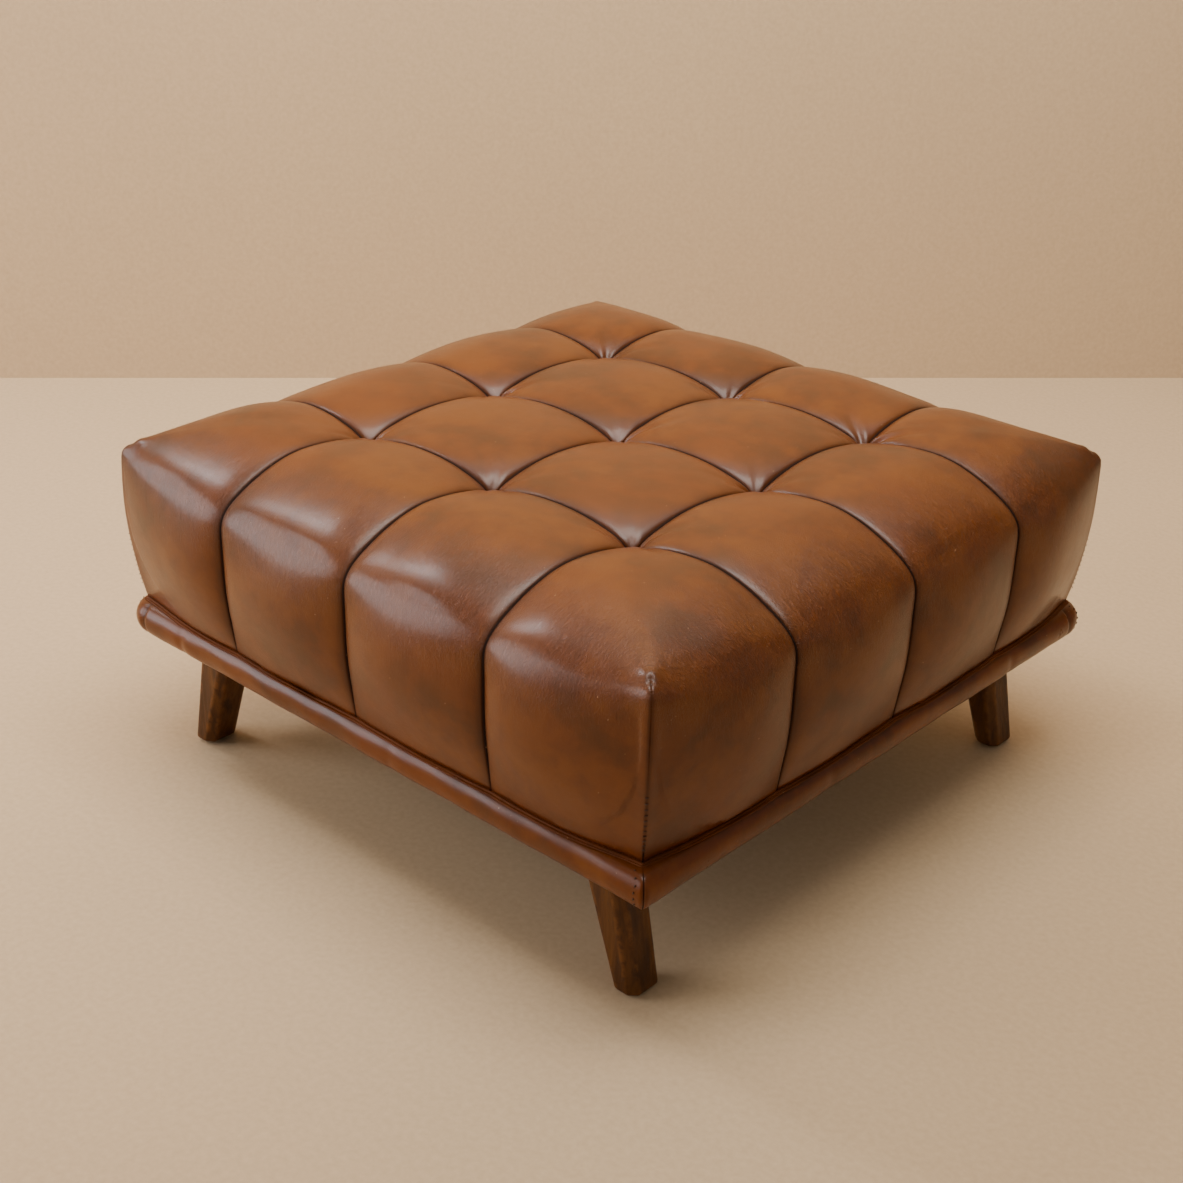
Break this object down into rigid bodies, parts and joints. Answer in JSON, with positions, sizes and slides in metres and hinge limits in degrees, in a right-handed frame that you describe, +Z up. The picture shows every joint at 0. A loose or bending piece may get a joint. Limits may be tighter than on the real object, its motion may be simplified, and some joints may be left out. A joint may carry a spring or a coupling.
{
  "type": "tufted ottoman",
  "caption": "Square low ottoman: a deep biscuit-tufted leather pad with bulging sides on a slim leather-wrapped frame, on splayed tapered wooden legs.",
  "frame": {"origin": "on the floor, under the middle of the ottoman", "axes": "+Z up; the front is at -Y and the right side at +X; the legs lean out along X"},
  "size_m": [0.9012, 0.9012, 0.4435],
  "materials": {
    "cover_leather": "smooth cognac pull-up leather, satin",
    "foam": "open-cell upholstery foam",
    "wadding": "polyester wadding",
    "plywood": "sanded plywood",
    "frame_wood": "planed hardwood, unfinished",
    "leg_wood": "dark walnut stain, satin lacquer",
    "zinc_steel": "zinc plated",
    "cord": "waxed tufting twine",
    "anchor_plastic": "moulded",
    "glide_plastic": "moulded, dark brown",
    "lining_cloth": "black spun-bonded lining"
  },
  "bodies": {
    "root": {"corner_block_back_left": "frame_wood", "corner_block_back_right": "frame_wood", "corner_block_front_left": "frame_wood", "corner_block_front_right": "frame_wood", "cushion_cell_r1_c1": "cover_leather", "cushion_cell_r1_c2": "cover_leather", "cushion_cell_r1_c3": "cover_leather", "cushion_cell_r1_c4": "cover_leather", "cushion_cell_r2_c1": "cover_leather", "cushion_cell_r2_c2": "cover_leather", "cushion_cell_r2_c3": "cover_leather", "cushion_cell_r2_c4": "cover_leather", "cushion_cell_r3_c1": "cover_leather", "cushion_cell_r3_c2": "cover_leather", "cushion_cell_r3_c3": "cover_leather", "cushion_cell_r3_c4": "cover_leather", "cushion_cell_r4_c1": "cover_leather", "cushion_cell_r4_c2": "cover_leather", "cushion_cell_r4_c3": "cover_leather", "cushion_cell_r4_c4": "cover_leather", "deck_board": "plywood", "deck_screws": "zinc_steel", "dust_cover": "lining_cloth", "foam_core": "foam", "foot_glide_back_left": "glide_plastic", "foot_glide_back_right": "glide_plastic", "foot_glide_front_left": "glide_plastic", "foot_glide_front_right": "glide_plastic", "frame_rail_back": "frame_wood", "frame_rail_front": "frame_wood", "frame_rail_left": "frame_wood", "frame_rail_right": "frame_wood", "frame_screws": "zinc_steel", "leg_back_left": "leg_wood", "leg_back_right": "leg_wood", "leg_bolts": "zinc_steel", "leg_front_left": "leg_wood", "leg_front_right": "leg_wood", "rail_cover_back": "cover_leather", "rail_cover_front": "cover_leather", "rail_cover_left": "cover_leather", "rail_cover_right": "cover_leather", "rail_padding_back": "wadding", "rail_padding_front": "wadding", "rail_padding_left": "wadding", "rail_padding_right": "wadding", "stretcher_left": "frame_wood", "stretcher_right": "frame_wood", "tee_nuts": "zinc_steel", "tuft_anchors": "anchor_plastic", "tuft_cords": "cord", "welt_back": "cover_leather", "welt_front": "cover_leather", "welt_left": "cover_leather", "welt_right": "cover_leather"}
  },
  "joints": []
}
